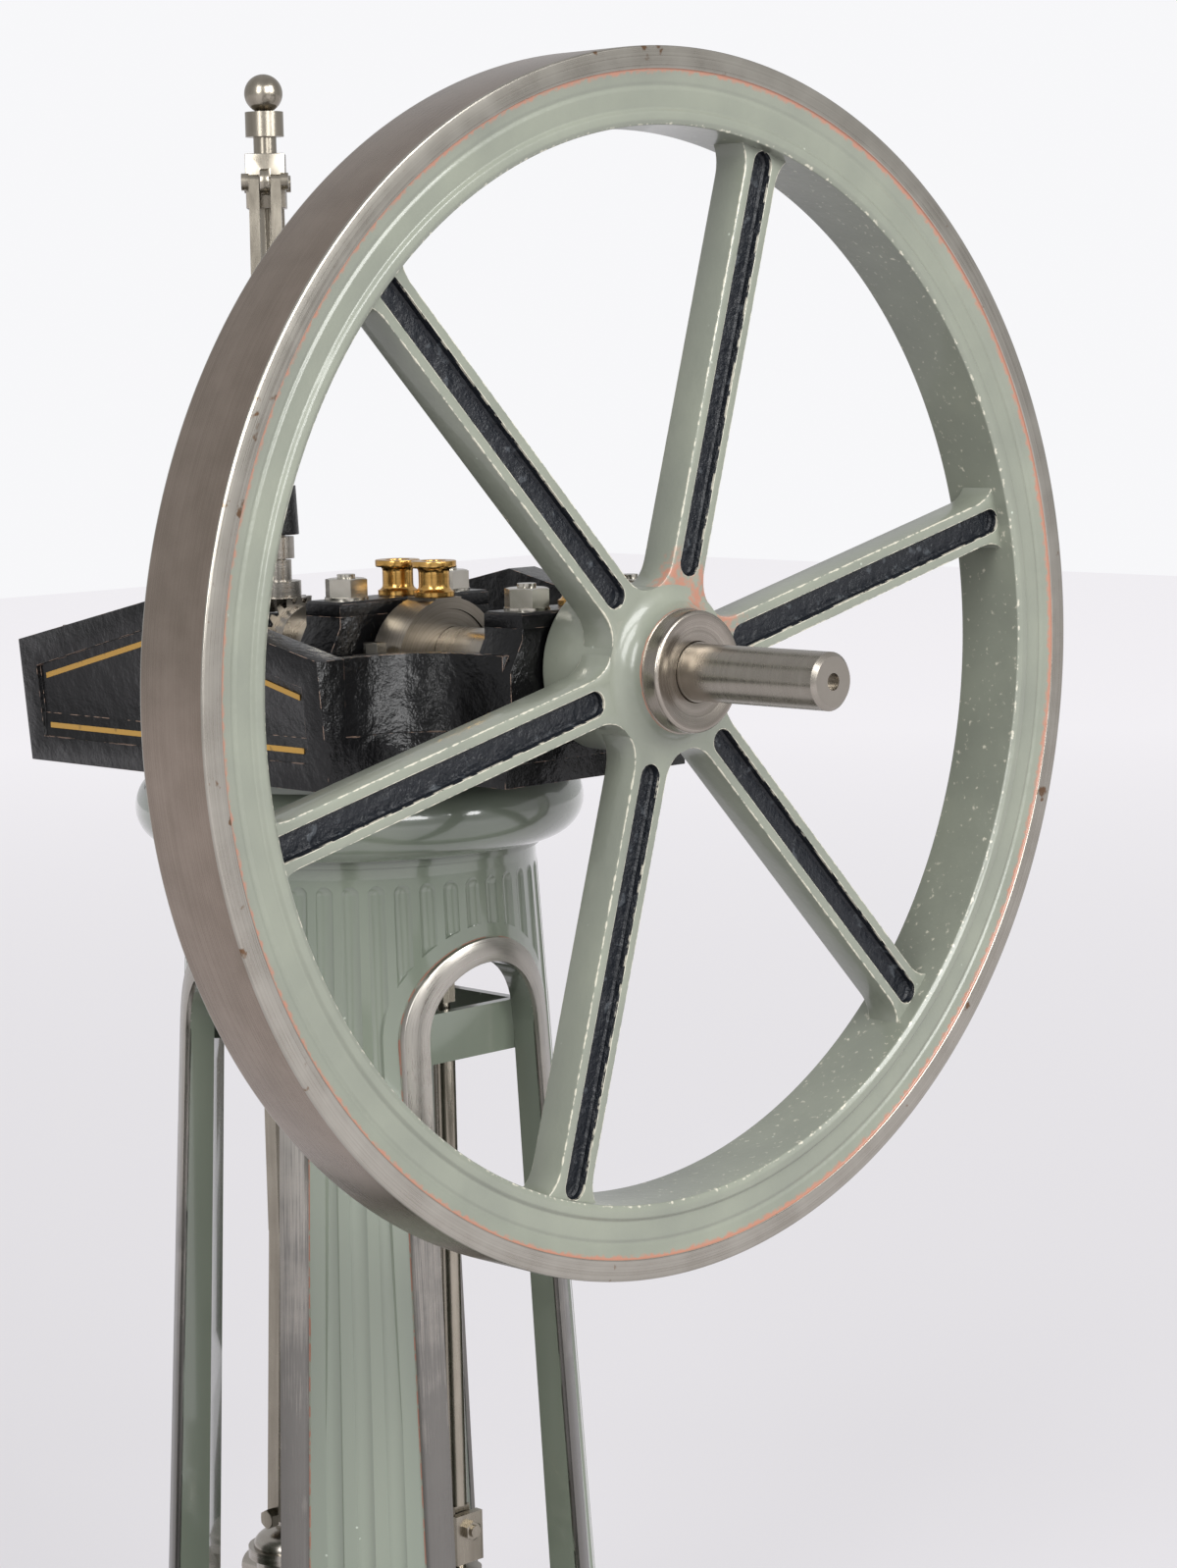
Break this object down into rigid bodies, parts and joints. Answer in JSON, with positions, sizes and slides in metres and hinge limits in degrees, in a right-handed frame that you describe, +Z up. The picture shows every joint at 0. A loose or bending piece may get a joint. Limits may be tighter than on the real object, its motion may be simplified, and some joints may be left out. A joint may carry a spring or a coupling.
{
  "type": "scale model of a vertical column steam engine",
  "caption": "Tabletop model of a stationary steam engine: arched fluted column, overhung spoked flywheel, eccentric valve gear and ball governor.",
  "frame": {"origin": "on the ground at the centre of the base plate's underside, under the column's axis", "axes": "+Z up, +Y along the crankshaft away from the flywheel, +X across the engine"},
  "size_m": [0.2032, 0.1771, 0.3459],
  "materials": {
    "green_paint": "gloss sage green paint",
    "black_casting": "gloss black paint on a rough casting",
    "bright_steel": "turned and polished, lightly worn",
    "oil_cup_brass": "turned, slightly dull",
    "machined_iron": "machined cast iron, oiled"
  },
  "bodies": {
    "frame": {"base_plate": "black_casting", "column": "green_paint", "arch_bands": "bright_steel", "entablature": "black_casting", "bearing_bushes": "oil_cup_brass", "near_bearing_cap": "black_casting", "middle_bearing_cap": "black_casting", "cap_nuts": "bright_steel", "bearing_oil_cups": "oil_cup_brass", "valve_spindle": "bright_steel", "valve_gland": "oil_cup_brass", "crosshead": "bright_steel", "piston_rod": "bright_steel", "guide_frame": "green_paint", "slide_bars": "bright_steel", "cylinder": "green_paint", "cylinder_cover": "bright_steel", "cover_nuts": "bright_steel", "steam_chest": "green_paint", "throttle_valve": "bright_steel", "throttle_rod": "bright_steel", "governor_bracket": "black_casting"},
    "crank": {"flywheel": "green_paint", "crankshaft": "bright_steel", "eccentric_sheave": "machined_iron", "shaft_bevel_gear": "bright_steel"},
    "rod": {"connecting_rod": "bright_steel"},
    "eccentric": {"eccentric_strap": "machined_iron", "strap_bolts": "bright_steel", "eccentric_oil_cup": "oil_cup_brass", "eccentric_rod": "bright_steel"},
    "governor": {"governor_spindle": "bright_steel", "spindle_bevel_gear": "bright_steel", "knurled_collar": "bright_steel", "governor_head": "bright_steel", "governor_arms": "bright_steel", "governor_collar": "bright_steel", "governor_links": "bright_steel"}
  },
  "joints": [
    {"name": "crank_spin", "type": "hinge", "parent": "frame", "child": "crank", "pos_m": [0, -0.0581, 0.242], "axis": [0, 1, 0], "continuous": true},
    {"name": "rod_swing", "type": "hinge", "parent": "crank", "child": "rod", "pos_m": [0, 0, 0.2305], "axis": [0, 1, 0], "continuous": true},
    {"name": "strap_swing", "type": "hinge", "parent": "crank", "child": "eccentric", "pos_m": [-0.0015, -0.0233, 0.24], "axis": [0, 1, 0], "continuous": true},
    {"name": "governor_spin", "type": "hinge", "parent": "frame", "child": "governor", "pos_m": [0, 0.0212, 0.27], "axis": [0, 0, 1], "continuous": true}
  ],
  "couplings": [
    {"joint": "rod_swing", "follows": "crank_spin", "ratio": -1},
    {"joint": "strap_swing", "follows": "crank_spin", "ratio": -1},
    {"joint": "governor_spin", "follows": "crank_spin", "ratio": 1.5}
  ]
}
